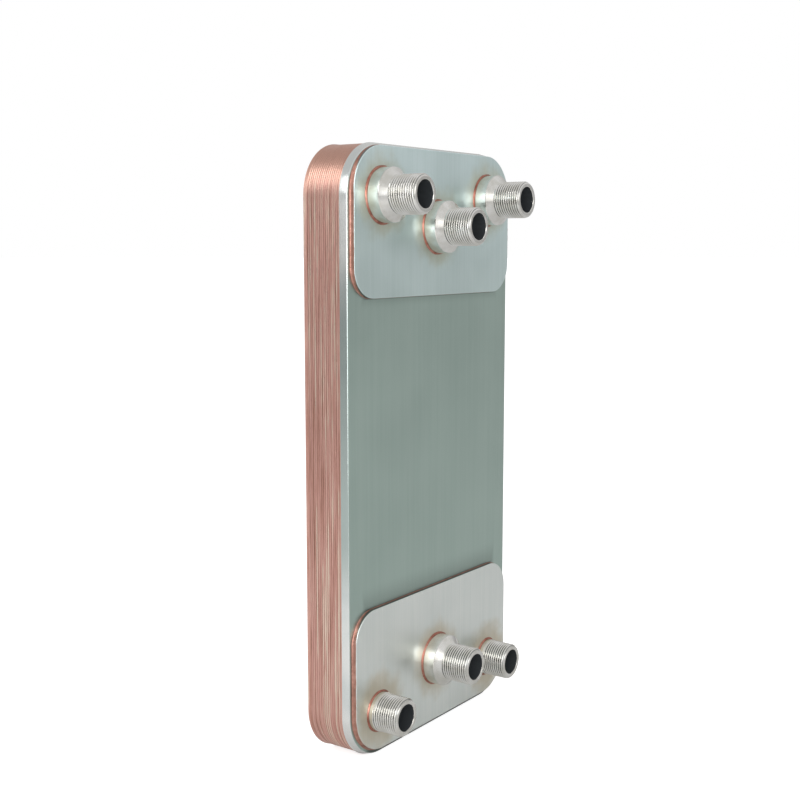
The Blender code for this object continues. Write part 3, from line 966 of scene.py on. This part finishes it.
def build_channel_plate(number):
    """One channel plate, folds up on odd plates and down on even ones."""
    name = f"channel_plate_{number:02d}"
    direction = 1 if number % 2 else -1
    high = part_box(name)[1]
    rim_y = high.y - CHANNEL_RIM_LIP
    floor_y = rim_y - CHANNEL_DEPTH
    inset = HALF_WIDTH - high.x
    mesh, face = pan_mesh(
        high.x, inset, HEIGHT - inset, CORNER_RADIUS - inset,
        rim_y, CHANNEL_DEPTH, CHANNEL_BEND,
    )
    border = herringbone_edges(mesh, direction, floor_y)
    holes = []
    for port, axis in AXES.items():
        if (port in CENTRE_PORTS) == (direction == -1):
            border += sealed_port_edges(mesh, axis, floor_y)
        else:
            holes.append((axis, CHANNEL_PORT, floor_y, CHANNEL_SEGMENTS))
    cut_holes(mesh, face, holes, border)
    face_front(mesh)
    piece = finish_piece(name, mesh, [CHANNEL_FINISH])
    add_sheet(piece, CHANNEL_SHEET)


for number in range(1, CHANNEL_COUNT + 1):
    build_channel_plate(number)
print(f"{CHANNEL_COUNT} channel plates, one every {LAYER_PITCH / MM:.3f} mm")

# %% [markdown]
# ## The copper seams of the stack
# Between two rims the copper fills the step and freezes almost flush, but not
# evenly. Each seam is a ring whose outer side has a few loops; subdividing the
# long straight stretches and moving the loops by a smooth noise gives the
# uneven, slightly sunken surface.

# %% Build the seams
SEAM_LENGTH = 3 * MM
SEAM_MARKS = (0.0, 0.10, 0.35, 0.6, 0.85, 1.0)
FIRST_MARK_SUNK = 0.9
FIRST_MARK_BACK = 0.1 * MM
SINK = 0.28
SINK_WANDER = 0.2
SINK_SCALE = 90
SINK_STRETCH = 4


def subdivide_long_edges(mesh, length):
    """Cut the edges that are longer than a length into equal parts."""
    for edge in list(mesh.edges):
        cuts = int(edge.calc_length() / length)
        if cuts:
            bmesh.ops.subdivide_edges(mesh, edges=[edge], cuts=cuts)


def outline_loop(mesh, half_width, low, high, low_radius, high_radius, y):
    """A subdivided rounded outline as a loop of edges with no face."""
    made = bmesh.new()
    rounded_face(made, half_width, low, high, low_radius, high_radius, y)
    bmesh.ops.delete(made, geom=made.faces[:], context="FACES_ONLY")
    subdivide_long_edges(made, SEAM_LENGTH)
    copy = bpy.data.meshes.new("outline")
    made.to_mesh(copy)
    made.free()
    before = set(mesh.edges)
    mesh.from_mesh(copy)
    bpy.data.meshes.remove(copy)
    return [edge for edge in mesh.edges if edge not in before]


def close_ring(mesh, loops):
    """Bridge each loop with the next, and the last with the first."""
    for index in range(len(loops)):
        bmesh.ops.bridge_loops(mesh, edges=loops[index - 1] + loops[index])
    bmesh.ops.recalc_face_normals(mesh, faces=mesh.faces)


def away_from_middle(point):
    """The direction straight out of the stack's rounded outline at a point."""
    up = point.z - HEIGHT / 2
    out_x = max(0, abs(point.x) - (HALF_WIDTH - CORNER_RADIUS))
    out_z = max(0, abs(up) - (HEIGHT / 2 - CORNER_RADIUS))
    way = Vector((math.copysign(out_x, point.x), 0, math.copysign(out_z, up)))
    return way.normalized()


def sink_loop(loop, thickness):
    """Pull a loop unevenly into the stack, by less than the seam's thickness."""
    for vert in verts_of(loop):
        place = Vector((vert.co.x, SINK_STRETCH * vert.co.y, vert.co.z))
        wander = SINK_WANDER * noise.noise(place * SINK_SCALE)
        vert.co -= away_from_middle(vert.co) * thickness * (SINK + wander)


def build_seam(number):
    """One seam, in the step behind a rim."""
    name = f"braze_seam_{number:02d}"
    low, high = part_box(name)
    span = high.y - low.y
    deepest = span * FLARE
    mesh = bmesh.new()
    loops = []
    for along in SEAM_MARKS:
        inset = HALF_WIDTH - high.x
        y = low.y + span * along
        if along == SEAM_MARKS[0]:
            inset += FIRST_MARK_SUNK * deepest
            y += FIRST_MARK_BACK
        radius = CORNER_RADIUS - inset
        outline = (HALF_WIDTH - inset, inset, HEIGHT - inset, radius, radius, y)
        loop = outline_loop(mesh, *outline)
        if 0 < along < 1:
            sink_loop(loop, deepest * (1 - along))
        loops.append(loop)
    close_ring(mesh, loops)
    finish_piece(name, mesh, [SEAM_FINISH], BEAD_ANGLE)


for number in range(1, CHANNEL_COUNT + 2):
    build_seam(number)
print(f"{CHANNEL_COUNT + 1} seams")

# %% [markdown]
# ## The reinforcement plates
# Each is cut from thick sheet. Its inner corners are tighter than the outer
# ones, which follow the cover's. The cut edge is slightly rounded, and catches
# the light.

# %% Build the reinforcement plates
INNER_CORNER = 26.5 * MM
EDGE_ROUNDING = 0.5 * MM


def plate_shape(side):
    """Half width, low, high and the radii of a plate's lower and upper corners."""
    low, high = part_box(f"{side}_reinforcement_plate")
    outer = CORNER_RADIUS - (HALF_WIDTH - high.x)
    radii = (INNER_CORNER, outer) if side == "top" else (outer, INNER_CORNER)
    return high.x, low.z, high.z, *radii


def build_reinforcement(side, finish):
    """A thick plate with three holes."""
    name = f"{side}_reinforcement_plate"
    low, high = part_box(name)
    mesh = bmesh.new()
    face = rounded_face(mesh, *plate_shape(side), low.y)
    ports = [port for port in PORTS if port.startswith(side)]
    holes = [(AXES[port], SPIGOT_HOLE, low.y, HOLE_SEGMENTS) for port in ports]
    cut_holes(mesh, face, holes)
    face_front(mesh)
    piece = finish_piece(name, mesh, [finish])
    add_sheet(piece, high.y - low.y)
    add_edge_rounding(piece, EDGE_ROUNDING)
    print(f"{name}: {(high.y - low.y) / MM:.1f} mm thick")


build_reinforcement("top", TOP_PLATE_FINISH)
build_reinforcement("bottom", BOTTOM_PLATE_FINISH)

# %% [markdown]
# ## The copper round the plates
# The copper paste melts and climbs the plate's cut edge. The ring's section
# climbs high on the plate and spreads a little on the cover, and its height
# wanders with a smooth noise. It is full along the outer sides and thin where
# the plates face each other and along the top, where the copper ran off. So
# each point of the ring is scaled by how much copper stands there.

# %% Build the copper round the plates
CLIMB = 3.6 * MM
LEAST_CLIMB = 0.5 * MM
SPREAD = 1.5 * MM
THIN = 0.22
RING_GAP = 0.05 * MM
BRAZE_SECTION = (
    (0.0, 0.015), (1.0, 0.03), (0.50, 0.14), (0.26, 0.34), (0.14, 0.64), (0.0, 1.0),
)
SWELL = 0.12
SWELL_SCALE = 120
RIPPLE_SCALE = 400


def outward(point, shape):
    """The direction away from a plate's outline at a point next to it."""
    half_width, low, high, low_radius, high_radius = shape
    radius = low_radius if point.z < (low + high) / 2 else high_radius
    edge_x = abs(point.x) - (half_width - radius)
    up = point.z - (high - radius)
    down = (low + radius) - point.z
    edge_z = max(up, down)
    way = Vector((
        math.copysign(max(edge_x, 0.0), point.x), 0,
        math.copysign(max(edge_z, 0.0), up if up > down else -down),
    ))
    return way.normalized()


def braze_amount(point, side, shape):
    """How much copper stands at a place: full on the outer sides, thin inside."""
    half_width, low, high = shape[:3]
    inner, outer = (low, high) if side == "top" else (high, low)
    beside = max(0.0, abs(point.x) - (half_width - INNER_CORNER)) / INNER_CORNER
    thin_edge = abs(point.z - inner) <= INNER_CORNER
    top_edge = side == "top" and abs(point.z - outer) < INNER_CORNER
    if thin_edge or top_edge:
        return min(1.0, THIN + (1 - THIN) * beside ** 2)
    return 1.0


def build_plate_braze(side):
    """The fillet between a reinforcement plate and the cover."""
    name = f"{side}_reinforcement_braze"
    shape = plate_shape(side)
    half_width, low, high, low_radius, high_radius = shape
    outline = (
        half_width + RING_GAP, low - RING_GAP, high + RING_GAP,
        low_radius + RING_GAP, high_radius + RING_GAP,
    )
    mesh = bmesh.new()
    loops = []
    for spread, climb in BRAZE_SECTION:
        loop = outline_loop(mesh, *outline, FACE_Y - climb * CLIMB)
        for vert in verts_of(loop):
            wave = noise.noise(vert.co * SWELL_SCALE)
            wave += 0.5 * noise.noise(vert.co * RIPPLE_SCALE)
            amount = braze_amount(vert.co, side, shape) * (1 + SWELL * wave)
            out = outward(vert.co, shape)
            vert.co.y = FACE_Y - climb * max(CLIMB * amount, LEAST_CLIMB)
            vert.co += out * spread * SPREAD * amount
        loops.append(loop)
    close_ring(mesh, loops)
    finish_piece(name, mesh, [PLATE_BRAZE_FINISH], BEAD_ANGLE)
    print(f"{name}: {len(BRAZE_SECTION)} loops of copper")


build_plate_braze("top")
build_plate_braze("bottom")

# %% [markdown]
# ## The connectors
# A pipe thread is a spiral. One pitch of its profile, spun while it moves
# along the axis, sweeps all the turns at once. Two flat cuts trim the ends.
# The end of a real thread runs into a chamfer and its start fades into the
# plain body, so radii are held under a cone at one end and above a rising floor
# at the other. That leaves a true circle at each end, from which the rest of
# the body is extruded ring by ring. The depth of each point under the thread's
# crest is kept in an attribute before the ends are trimmed, for the finish.

# %% Spin and trim the thread
THREAD_PITCH = 2.309 * MM
THREAD_OUTER = 16.6 * MM
THREAD_DEPTH = 1.40 * MM
THREAD_ROOT_RADIUS = THREAD_OUTER - THREAD_DEPTH
CREST_ROUND = 0.10 * MM
ROOT_ROUND = 0.02 * MM
THREAD_PROFILE = (
    (0.00, THREAD_ROOT_RADIUS), (0.06, THREAD_ROOT_RADIUS + ROOT_ROUND),
    (0.42, THREAD_OUTER - CREST_ROUND), (0.47, THREAD_OUTER),
    (0.53, THREAD_OUTER), (0.58, THREAD_OUTER - CREST_ROUND),
    (0.94, THREAD_ROOT_RADIUS + ROOT_ROUND), (1.00, THREAD_ROOT_RADIUS),
)
SPIN_LEAD = 1.5 * THREAD_PITCH
TURN_STEPS = 64
MERGE = 0.01 * MM
CUT_MERGE = 0.004 * MM
END_NEAR = 0.05 * MM
EXACT = 0.001 * MM
FADE = 0.9 * MM
END_CHAMFER = 1.2 * MM
CHAMFER_RADIUS = THREAD_OUTER - END_CHAMFER


def thread_profile(mesh, start):
    """One pitch of thread: rounded crest and root, as edges."""
    verts = [
        mesh.verts.new((radius, start + THREAD_PITCH * along, 0))
        for along, radius in THREAD_PROFILE
    ]
    return verts + [mesh.edges.new(pair) for pair in zip(verts, verts[1:])]


def spun_thread(low, high):
    """A thread round the Y axis between two flat cuts."""
    mesh = bmesh.new()
    turns = math.ceil((high - low) / THREAD_PITCH) + 2
    bmesh.ops.spin(
        mesh, geom=thread_profile(mesh, low - SPIN_LEAD), cent=(0, 0, 0), axis=(0, 1, 0),
        dvec=(0, THREAD_PITCH / TURN_STEPS, 0), angle=math.tau * turns,
        steps=TURN_STEPS * turns, use_merge=False,
    )
    bmesh.ops.remove_doubles(mesh, verts=mesh.verts, dist=MERGE)
    for y, normal in ((low, (0, -1, 0)), (high, (0, 1, 0))):
        geom = mesh.verts[:] + mesh.edges[:] + mesh.faces[:]
        bmesh.ops.bisect_plane(
            mesh, geom=geom, plane_co=(0, y, 0), plane_no=normal, clear_outer=True
        )
    bmesh.ops.remove_doubles(mesh, verts=mesh.verts, dist=CUT_MERGE)
    return mesh


def radius_of(vert):
    """The distance of a point of a turned piece from the Y axis."""
    return math.hypot(vert.co.x, vert.co.z)


def set_radius(vert, radius):
    """Move a point of a turned piece to a distance from the Y axis."""
    grow = radius / radius_of(vert)
    vert.co.x *= grow
    vert.co.z *= grow


def store_groove(mesh, smooth_edges):
    """Store how deep each point lies in the thread, and 0 on the end loops."""
    groove = mesh.verts.layers.float.new("groove")
    for vert in mesh.verts:
        depth = (THREAD_OUTER - radius_of(vert)) / THREAD_DEPTH
        vert[groove] = max(0.0, min(1.0, depth))
    for vert in verts_of(smooth_edges):
        vert[groove] = 0.0


def trim_thread(mesh, low, high):
    """Hold the thread under the end chamfer and above the fading run-out."""
    for vert in mesh.verts:
        under = CHAMFER_RADIUS + (vert.co.y - low)
        fade = (vert.co.y - (high - FADE)) / FADE
        floor = THREAD_OUTER - THREAD_DEPTH * (1 - fade) if fade > 0 else 0
        radius = max(min(radius_of(vert), under), floor)
        if abs(vert.co.y - high) < EXACT:
            radius = THREAD_OUTER
        if abs(vert.co.y - low) < EXACT:
            radius = CHAMFER_RADIUS
        set_radius(vert, radius)


def end_loop(mesh, y):
    """The open loop of edges next to one depth, made exactly flat."""
    loop = [
        edge for edge in mesh.edges
        if edge.is_boundary and all(abs(v.co.y - y) < END_NEAR for v in edge.verts)
    ]
    for vert in verts_of(loop):
        vert.co.y = y
    return loop


# %% Extrude the body from the thread's ends
BORE_RADIUS = 11.65 * MM
BORE_CHAMFER = 0.5 * MM
BORE_CHAMFER_MIDDLE = 0.15 * MM
BORE_TOLERANCE = 0.01 * MM
SPIGOT_RADIUS = 14.0 * MM
SPIGOT_START = 0.3 * MM
SPIGOT_RIM = 0.1 * MM
END_RADIUS = 14.35 * MM
BORE_SLOT = 1


def extrude_rings(mesh, loop, marks):
    """Carry an open loop on through (radius, depth) marks."""
    groove = mesh.verts.layers.float["groove"]
    for radius, y in marks:
        made = bmesh.ops.extrude_edge_only(mesh, edges=loop)["geom"]
        loop = [g for g in made if isinstance(g, bmesh.types.BMEdge) and g.is_boundary]
        for vert in verts_of(loop):
            set_radius(vert, radius)
            vert.co.y = y
            vert[groove] = 0.0
    return loop


def connector_mesh(length, spigot, thread, body):
    """A connector from its open end at y 0 to the end of its spigot."""
    low, high = thread
    mesh = spun_thread(low, high)
    front = end_loop(mesh, low)
    rear = end_loop(mesh, high)
    store_groove(mesh, front + rear)
    trim_thread(mesh, low, high)
    outside = [
        *body,
        (SPIGOT_RADIUS, length - SPIGOT_START),
        (SPIGOT_RADIUS, length + spigot),
    ]
    inside = [
        (END_RADIUS, 0.0),
        (BORE_RADIUS + BORE_CHAMFER, 0.0),
        (BORE_RADIUS + BORE_CHAMFER_MIDDLE, BORE_CHAMFER_MIDDLE),
        (BORE_RADIUS, BORE_CHAMFER),
        (BORE_RADIUS, length / 2),
        (BORE_RADIUS, length + spigot - SPIGOT_RIM),
    ]
    rear = extrude_rings(mesh, rear, outside)
    front = extrude_rings(mesh, front, inside)
    bmesh.ops.bridge_loops(mesh, edges=rear + front)
    bmesh.ops.recalc_face_normals(mesh, faces=mesh.faces)
    for face in mesh.faces:
        if all(radius_of(vert) < BORE_RADIUS + BORE_TOLERANCE for vert in face.verts):
            face.material_index = BORE_SLOT
    return mesh


# %% [markdown]
# Four connectors have a wide boss with a cone, and the two at the bottom
# corners are straight stubs with a short plain shank. One of each kind is made,
# with its open end at y 0, and the six pieces are moved copies of the two.

# %% Build the connectors
BOSS_RADIUS = 22.9 * MM
BOSS_REACH = 12.2 * MM
CONE_REACH = 17.0 * MM
CONE_UNDER = 0.3 * MM
CONE_BEFORE = 0.35 * MM
BOSS_BEHIND = 0.2 * MM
SHANK_RADIUS = 17.0 * MM
SHANK_REACH = 4.5 * MM
SHANK_STEP = 0.4 * MM
FOOT_GAP = 0.35 * MM
THREAD_START = 0.5 * MM
LATHE_ANGLE = math.radians(20)


def collared_body(length):
    """Where a boss connector's thread ends, and the marks of its cone and boss."""
    corner = length - BOSS_REACH
    marks = [
        (BOSS_RADIUS - CONE_UNDER, corner - CONE_BEFORE),
        (BOSS_RADIUS, corner + BOSS_BEHIND),
        (BOSS_RADIUS, length - FOOT_GAP),
    ]
    return length - CONE_REACH, marks


def straight_body(length):
    """Where a straight connector's thread ends, and the marks of its shank."""
    start = length - SHANK_REACH
    marks = [(SHANK_RADIUS, start), (SHANK_RADIUS, length - FOOT_GAP)]
    return start - SHANK_STEP, marks


def plate_face_y(port):
    """The depth of the face that a port's connector stands on."""
    side = port.split("_")[0]
    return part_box(f"{side}_reinforcement_plate")[0].y


def connector_shape(port, body):
    """The mesh of one kind of connector, with its open end at y 0."""
    low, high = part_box(f"{port}_connector")
    length = plate_face_y(port) - low.y
    thread_end, marks = body(length)
    spigot = high.y - plate_face_y(port)
    return connector_mesh(length, spigot, (THREAD_START, thread_end), marks)


COLLARED_SHAPE = connector_shape("top_left", collared_body)
STRAIGHT_SHAPE = connector_shape("bottom_left", straight_body)


def build_connector(port):
    """A copy of the right shape, moved to its port."""
    name = f"{port}_connector"
    x, z = AXES[port]
    mesh = (STRAIGHT_SHAPE if port in STRAIGHT else COLLARED_SHAPE).copy()
    bmesh.ops.translate(mesh, verts=mesh.verts, vec=(x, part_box(name)[0].y, z))
    finishes = [CONNECTOR_FINISH, BORE_FINISH]
    finish_piece(name, mesh, finishes, LATHE_ANGLE)


for port in PORTS:
    build_connector(port)
print(f"{len(PORTS)} connectors, {len(STRAIGHT)} of them straight")

# %% [markdown]
# ## The copper ring round each connector
# A bead of copper stands in the corner between the connector and the plate. A
# small arc of points, spun all the way round, makes the bead, and a smooth
# noise makes it swell and thin out.

# %% Build the rings
BEAD_GAP = 0.1 * MM
BEAD_MARKS = (
    (0.0, 0.10), (0.0, 1.30), (0.45, 1.15), (0.85, 0.75), (1.15, 0.35), (1.35, 0.10),
)
BEAD_STEPS = 96
BEAD_SWELL = 0.25
BEAD_SCALE = 110
BEAD_ROOT = 0.2 * MM


def bead_mesh(inner):
    """A bead of copper round the Y axis, standing on y 0."""
    mesh = bmesh.new()
    verts = [mesh.verts.new((inner + r * MM, -y * MM, 0)) for r, y in BEAD_MARKS]
    edges = [mesh.edges.new((verts[i - 1], verts[i])) for i in range(len(verts))]
    bmesh.ops.spin(
        mesh, geom=verts + edges, cent=(0, 0, 0), axis=(0, 1, 0),
        angle=math.tau, steps=BEAD_STEPS, use_merge=True,
    )
    bmesh.ops.remove_doubles(mesh, verts=mesh.verts, dist=MERGE)
    return mesh


def build_ring(port):
    """The bead of copper at a connector's foot, made uneven."""
    name = f"{port}_braze_ring"
    inner = (SHANK_RADIUS if port in STRAIGHT else BOSS_RADIUS) + BEAD_GAP
    plate_y = plate_face_y(port)
    x, z = AXES[port]
    mesh = bead_mesh(inner)
    bmesh.ops.translate(mesh, verts=mesh.verts, vec=(x, plate_y, z))
    for vert in mesh.verts:
        out = math.hypot(vert.co.x - x, vert.co.z - z) - inner
        wave = noise.noise(Vector((vert.co.x, 0, vert.co.z)) * BEAD_SCALE)
        if out > BEAD_ROOT:
            grow = 1 + BEAD_SWELL * wave * out / inner
            vert.co.x = x + (vert.co.x - x) * grow
            vert.co.z = z + (vert.co.z - z) * grow
            vert.co.y = plate_y + (vert.co.y - plate_y) * (1 + BEAD_SWELL * wave)
    bmesh.ops.recalc_face_normals(mesh, faces=mesh.faces)
    finish_piece(name, mesh, [RING_BRAZE_FINISH], BEAD_ANGLE)


for port in PORTS:
    build_ring(port)
print(f"{len(PORTS)} braze rings")

# %% [markdown]
# ## Floor, light and camera
# Bare metal shows what it reflects, so the room matters more than the lamps.
# The camera sees a white room and a pale floor. Everything else sees a soft
# grey one, lighter above and in front, with one bright card straight ahead of
# the connectors. The floor glows a little for the same reason, most of all to the left,
# where the copper side faces. Three soft lamps draw the edges: one on the left
# for the skirt, one in front on the left for the bend and the connectors, and
# one behind on the left for the rounded corner of the stack.

# %% Floor and room
FLOOR_RADIUS = 40.0
FLOOR_SEGMENTS = 96
FLOOR_GREY = rgb(0.6, 0.6, 0.6)
FLOOR_ROUGH = 0.9
FLOOR_SEEN = 0.78
FLOOR_LEFT = 0.15
FLOOR_LEVEL = 0.10
POOL_NEAR = (0.0, -0.4)
POOL_FAR = (-2.2, -0.8)
POOL_BEHIND = (0.35, 0.0)
ROOM_LEVEL = 0.34
ROOM_FRONT = 0.13
ROOM_FRONT_FROM = (0.1, -0.5)
ROOM_ABOVE = 0.30
ROOM_ABOVE_FROM = (0.0, 0.4)
CARD_WAY = (0.0, -1.0, 0.0)
CARD_LEVEL = 3.2
CARD_EDGE = (0.90, 0.97)


def floor_glow(nodes):
    """What the floor shines on the metal: a low level, and more on the left."""
    place = nodes.place_parts()
    near = nodes.between(place["X"], *POOL_NEAR)
    beside = nodes.between(place["Y"], *POOL_BEHIND, 0.0, FLOOR_LEFT)
    far = nodes.between(place["X"], *POOL_FAR)
    pool = nodes.math("MULTIPLY", nodes.math("MULTIPLY", near, beside), far)
    return nodes.math("ADD", pool, FLOOR_LEVEL)


def build_floor():
    """A wide pale disc that glows a little, so that it reads as white."""
    mesh = bmesh.new()
    bmesh.ops.create_circle(
        mesh, cap_ends=True, segments=FLOOR_SEGMENTS, radius=FLOOR_RADIUS
    )
    data = bpy.data.meshes.new("floor")
    mesh.to_mesh(data)
    mesh.free()
    floor = bpy.data.objects.new("floor", data)
    bpy.context.scene.collection.objects.link(floor)
    material, nodes, shader = new_material("floor")
    shader.inputs["Base Color"].default_value = FLOOR_GREY
    shader.inputs["Roughness"].default_value = FLOOR_ROUGH
    shader.inputs["Emission Color"].default_value = WHITE
    seen = nodes.add("LightPath").outputs["Is Camera Ray"]
    glow = nodes.add(
        "Mix", {"data_type": "FLOAT"}, i0=seen, i2=floor_glow(nodes), i3=FLOOR_SEEN
    )
    nodes.fill(shader.inputs["Emission Strength"], glow.outputs[0])
    data.materials.append(material)


def build_room():
    """White to the camera, and a soft gradient to everything else."""
    world = bpy.data.worlds.new("room")
    bpy.context.scene.world = world
    world.use_nodes = True
    world.node_tree.nodes.clear()
    nodes = Nodes(world.node_tree)
    way = nodes.add("TexCoord").outputs["Generated"]
    parts = nodes.add("SeparateXYZ", Vector=way).outputs
    front = nodes.between(parts["Y"], *ROOM_FRONT_FROM, 0.0, ROOM_FRONT)
    above = nodes.between(parts["Z"], *ROOM_ABOVE_FROM, 0.0, ROOM_ABOVE)
    glow = nodes.math("ADD", nodes.math("ADD", front, above), ROOM_LEVEL)
    facing = nodes.add("VectorMath", {"operation": "DOT_PRODUCT"}, i0=way, i1=CARD_WAY)
    card = nodes.between(facing.outputs["Value"], *CARD_EDGE, 1.0, CARD_LEVEL)
    glow = nodes.math("MULTIPLY", glow, card)
    lit = nodes.add("Background", Color=WHITE, Strength=glow)
    white = nodes.add("Background", Color=WHITE, Strength=1.0)
    seen = nodes.add("LightPath").outputs["Is Camera Ray"]
    mixed = nodes.add("MixShader", i0=seen, i1=lit.outputs[0], i2=white.outputs[0])
    nodes.add("OutputWorld", Surface=mixed.outputs[0])


build_floor()
build_room()
print("floor and room")

# %% Lamps
LAMPS = {
    "left_lamp": ((-1.9, -0.3, 1.25), 0.4, (0.8, 1.1), 7),
    "front_left_lamp": ((-1.35, -1.35, 0.55), 0.3, (0.7, 1.3), 13),
    "rear_left_lamp": ((-1.35, 1.45, 1.75), 0.4, (1.0, 1.1), 15.5),
}


def add_lamp(name, place, aim_height, size, power):
    """A rectangular soft lamp aimed at the object, which the camera doesn't see."""
    data = bpy.data.lights.new(name, "AREA")
    data.shape = "RECTANGLE"
    data.size, data.size_y = size
    data.energy = power
    lamp = bpy.data.objects.new(name, data)
    lamp.location = place
    way = Vector((0, 0, aim_height)) - Vector(place)
    lamp.rotation_euler = way.to_track_quat("-Z", "Y").to_euler()
    lamp.visible_camera = False
    bpy.context.scene.collection.objects.link(lamp)


for name, values in LAMPS.items():
    add_lamp(name, *values)
print(f"{len(LAMPS)} lamps")

# %% Camera
LENS = 55.34
SENSOR = 36
CAMERA_PLACE = (-0.91048, -0.61306, 0.44214)
CAMERA_TURN = (82.784, 0, -54.410)

camera_data = bpy.data.cameras.new("camera")
camera_data.lens = LENS
camera_data.sensor_width = SENSOR
camera = bpy.data.objects.new("camera", camera_data)
camera.location = CAMERA_PLACE
camera.rotation_euler = [math.radians(angle) for angle in CAMERA_TURN]
bpy.context.scene.collection.objects.link(camera)
bpy.context.scene.camera = camera
bpy.context.scene.view_settings.view_transform = "Standard"
print(f"camera with a {LENS} mm lens")
